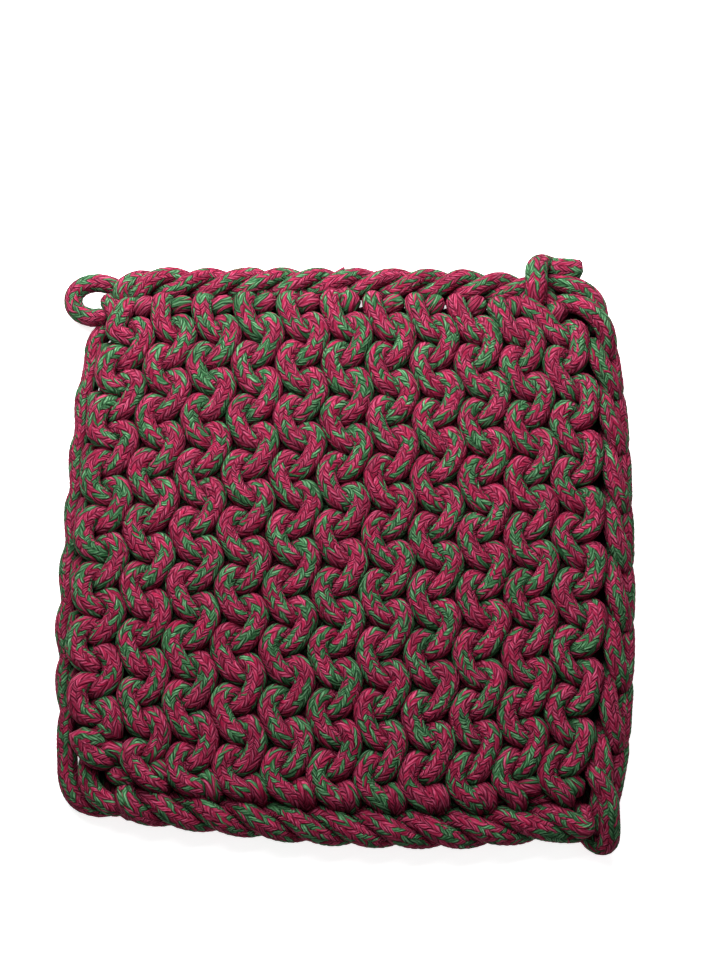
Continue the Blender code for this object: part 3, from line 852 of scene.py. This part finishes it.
def braidedCotton():
    # braided cotton cord, pink and green yarns: dull and soft-edged, each plait a bundle of a few
    # twisted threads, so the eye sees short slanting strokes with dark gaps between them; shade in the
    # gaps and between the loops is painted into the colour, and so are highlights on the threads' crests
    material = bpy.data.materials.new("braided cotton cord")
    material.use_nodes = True
    tree = material.node_tree
    shader = tree.nodes["Principled BSDF"]
    uv = addNode(tree, "ShaderNodeUVMap", uv_map="braid").outputs[0]
    split = addNode(tree, "ShaderNodeSeparateXYZ", {0: uv})
    wobble = addNode(tree, "ShaderNodeTexNoise", {"Vector": uv, "Scale": 0.8, "Detail": 1.0}).outputs[1]
    wobble = addNode(tree, "ShaderNodeSeparateXYZ", {0: wobble})
    run = calc(tree, "MULTIPLY_ADD", wobble.outputs[0], marl["wander"][0], split.outputs[0])
    column = calc(tree, "MULTIPLY_ADD", wobble.outputs[1], marl["wander"][1], split.outputs[1])
    # each column's plaits are of uneven width, out of step with the next column's
    apart = addNode(tree, "ShaderNodeCombineXYZ", {
        0: calc(tree, "MULTIPLY", run, 0.35), 1: calc(tree, "MULTIPLY", calc(tree, "FLOOR", column), 7.3),
    }).outputs[0]
    apart = addNode(tree, "ShaderNodeTexNoise", {"Vector": apart, "Scale": 1.0, "Detail": 1.0}).outputs[0]
    # the border between two columns swings, so that the plaits' ends interlock
    border = calc(tree, "ROUND", column)
    way = calc(tree, "MULTIPLY_ADD", calc(tree, "MODULO", border, 2.0), -2.0, 1.0)
    swing = calc(tree, "MULTIPLY_ADD", way, -0.5 * cord["plaitSlant"], run)
    swing = calc(tree, "COSINE", calc(tree, "MULTIPLY", swing, turn))
    near = calc(tree, "ABSOLUTE", calc(tree, "SUBTRACT", column, border))
    near = calc(tree, "MULTIPLY_ADD", near, -2.0 * cord["interlock"], cord["interlock"])
    swing = calc(tree, "MULTIPLY", calc(tree, "MULTIPLY", swing, way), near)
    # the slanting plaits: the place along the cord, moved up or down across a column
    which = calc(tree, "FLOOR", calc(tree, "SUBTRACT", column, swing))
    part = calc(tree, "SUBTRACT", column, which)
    odd = calc(tree, "MODULO", which, 2.0)
    slant = calc(tree, "MULTIPLY_ADD", odd, -2.0, 1.0)
    lean = calc(tree, "MULTIPLY_ADD", part, cord["plaitSlant"], -0.5 * cord["plaitSlant"])
    across = calc(tree, "MULTIPLY_ADD", slant, lean, run)
    across = calc(tree, "MULTIPLY_ADD", odd, 0.5, across)
    across = calc(tree, "MULTIPLY_ADD", apart, marl["outOfStep"], across)
    plait = calc(tree, "FLOOR", across)
    inPlait = calc(tree, "FRACT", across)
    threadPlace = calc(tree, "MULTIPLY", inPlait, float(marl["threads"]))
    thread = calc(tree, "FLOOR", threadPlace)
    inThread = calc(tree, "FRACT", threadPlace)
    # a plait's colour: partly shared with its neighbours round the cord, so that zigzags form
    shared = whiteNoise(tree, plait, calc(tree, "FLOOR", calc(tree, "DIVIDE", which, 3.0)), 5.0)
    chance = calc(tree, "MULTIPLY_ADD", whiteNoise(tree, plait, which), 1 - marl["shared"],
                  calc(tree, "MULTIPLY", shared, marl["shared"]))
    byThread = whiteNoise(tree, plait, which, thread)
    chance = calc(tree, "MULTIPLY_ADD", calc(tree, "SUBTRACT", byThread, 0.5), marl["byThread"], chance)
    isGreen = calc(tree, "LESS_THAN", chance, marl["greenShare"])
    # fibres: fine streaks along each thread, in the relief, and painted highlights along each thread's crest
    # where the streaks are high
    fibrePlace = addNode(tree, "ShaderNodeCombineXYZ", {
        0: calc(tree, "MULTIPLY", threadPlace, marl["fibres"][0]),
        1: calc(tree, "MULTIPLY", column, marl["fibres"][1]),
        2: calc(tree, "MULTIPLY", byThread, marl["fibres"][2]),
    }).outputs[0]
    fibre = addNode(tree, "ShaderNodeTexNoise", {
        "Vector": fibrePlace, "Scale": 1.0, "Detail": 4.0, "Roughness": 0.65,
    }).outputs[0]
    threadRound = calc(tree, "SINE", calc(tree, "MULTIPLY", inThread, math.pi))
    # painted highlight: the streaks lighten the yarn towards its highlight colours, most on each thread's
    # crest
    gain, begin, middle = marl["fibreHighlights"]
    light = calc(tree, "MULTIPLY_ADD", fibre, gain, begin, clamp=True)
    light = calc(tree, "MULTIPLY", light, calc(tree, "POWER", threadRound, middle))
    pink = mixColour(tree, light, linear(marl["pink"]), linear(marl["pinkHighlight"]))
    green = mixColour(tree, light, linear(marl["green"]), linear(marl["greenHighlight"]))
    yarn = mixColour(tree, isGreen, pink, green)
    # painted shade: a plait is darker along its two sides, at its ends and between its threads, where its
    # relief dips; and some plaits are darker by chance
    edge = calc(tree, "SINE", calc(tree, "MULTIPLY", inPlait, math.pi))
    end = calc(tree, "SINE", calc(tree, "MULTIPLY", part, math.pi), clamp=True)
    height = calc(tree, "MULTIPLY", calc(tree, "POWER", edge, 0.5), fade(tree, end, 0.6, 0.6))
    shade = calc(tree, "MULTIPLY", fade(tree, edge, *marl["edgeShade"]), fade(tree, end, *marl["endShade"]))
    shade = calc(tree, "MULTIPLY", shade, fade(tree, threadRound, marl["threadShade"]))
    uneven = fade(tree, whiteNoise(tree, which, plait, 3.0), marl["plaitShade"])
    shade = calc(tree, "MULTIPLY", shade, uneven)
    # painted shade in the hollows between the loops, where little light gets in
    openness = addNode(tree, "ShaderNodeAttribute", attribute_name="openness").outputs["Fac"]
    shade = calc(tree, "MULTIPLY", shade, openness)
    tree.links.new(mixColour(tree, shade, linear(marl["groove"]), yarn), shader.inputs["Base Color"])
    shader.inputs["Roughness"].default_value = 0.88
    shader.inputs["Metallic"].default_value = 0.0
    shader.inputs["Specular IOR Level"].default_value = 0.06
    relief = calc(tree, "MULTIPLY_ADD", threadRound, 0.5, height)
    relief = calc(tree, "MULTIPLY_ADD", fibre, 0.4, relief)
    bump = addNode(tree, "ShaderNodeBump", {"Strength": 1.0, "Distance": marl["bump"], "Height": relief})
    tree.links.new(bump.outputs[0], shader.inputs["Normal"])
    return material


def dressCord(item, material, node):
    # the piece's material, the body it rides and the solid it stands for
    item.data.materials.append(material)
    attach(item, "root")
    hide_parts(node)


# The rows of knitting are cut into pieces at the start of these ones.
pieceStarts = (4, 8, 12, 16, 20)

# The other pieces: their name, their strands' name and the node that each replaces.
edgePieces = (
    ("top_edge_rope", "top", "knitted_panel"), ("bottom_edge_rope", "bottom", "knitted_panel"),
    ("bound_off_edge", "boundOff", "knitted_panel"), ("cast_on_edge", "castOn", "knitted_panel"),
    ("hanging_loop_cord", "loop", "hanging_loop"), ("cord_end", "knot", "cord_end_knot"),
)


def buildCord():
    # all strands settled together, then one mesh for each piece
    strands, starts = gatherStrands()
    settle(strands)
    maps = surroundings(strands)
    material = braidedCotton()
    route, thick = strands[0]["route"], strands[0]["thick"]
    cuts = [0] + [starts[row] for row in pieceStarts] + [len(route)]
    for number, (start, end) in enumerate(zip(cuts[:-1], cuts[1:])):
        stretch = slice(start, end + 1)
        item = cordMesh("knitted_rows_%d" % (number + 1), [(route[stretch], thick[stretch])], number, maps)
        dressCord(item, material, "knitted_panel")
    for number, (name, key, node) in enumerate(edgePieces):
        routes = [(s["route"], s["thick"]) for s in strands if s["name"] == key]
        item = cordMesh(name, routes, 20 + number, maps)
        dressCord(item, material, node)
    print("cord made")


studio = {
    "camera": (6.03, -74.30, 504.80),   # from the origin, in millimetres
    "tilt": 11.0,
    "focal": 1392.0,           # in the photo's pixels
    "photoHeight": 960,
    "sensor": 36.0,
    "lights": (                # name, place and size in metres, watts
        ("keyLight", (-0.05, 0.25, 0.25), 0.36, 4.3),
        ("fillLight", (0.7, 0.2, 1.2), 1.0, 1.5),
    ),
    "room": 0.12,
    "floorHalf": 3,            # in metres
    "floorGlow": 0.8,
}


def buildStudio():
    # a pale floor, a camera at the photo's angle and soft lights
    scene = bpy.context.scene
    half = studio["floorHalf"]
    corners = [(-half, -half, 0), (half, -half, 0), (half, half, 0), (-half, half, 0)]
    floor = bpy.data.meshes.new("floor")
    floor.from_pydata(corners, [], [(0, 1, 2, 3)])
    # white paper lit from behind: dull, and its glow leaves only a faint shadow on it, as in the photo
    white = bpy.data.materials.new("white paper")
    white.use_nodes = True
    inputs = white.node_tree.nodes["Principled BSDF"].inputs
    inputs["Base Color"].default_value = linear("#F4F4F4")
    inputs["Roughness"].default_value = 0.9
    inputs["Emission Color"].default_value = linear("#FFFFFF")
    inputs["Emission Strength"].default_value = studio["floorGlow"]
    floor.materials.append(white)
    addItem("floor", floor)
    camera = bpy.data.cameras.new("camera")
    camera.sensor_width = studio["sensor"]
    camera.lens = studio["focal"] / studio["photoHeight"] * camera.sensor_width
    camera.clip_end = 10
    scene.camera = addItem("camera", camera)
    scene.camera.location = Vector(studio["camera"]) * mm
    scene.camera.rotation_euler = (math.radians(studio["tilt"]), 0, 0)
    for name, place, size, power in studio["lights"]:
        light = bpy.data.lights.new(name, "AREA")
        light.size = size
        light.energy = power
        item = addItem(name, light)
        item.location = place
        item.rotation_euler = (-Vector(place)).to_track_quat("-Z", "Y").to_euler()
    scene.world = bpy.data.worlds.new("soft room")
    scene.world.use_nodes = True
    background = scene.world.node_tree.nodes["Background"].inputs
    background[0].default_value = linear("#FFFFFF")
    background[1].default_value = studio["room"]
    scene.view_settings.view_transform = "Standard"
    print("studio made")


buildCord()
buildStudio()
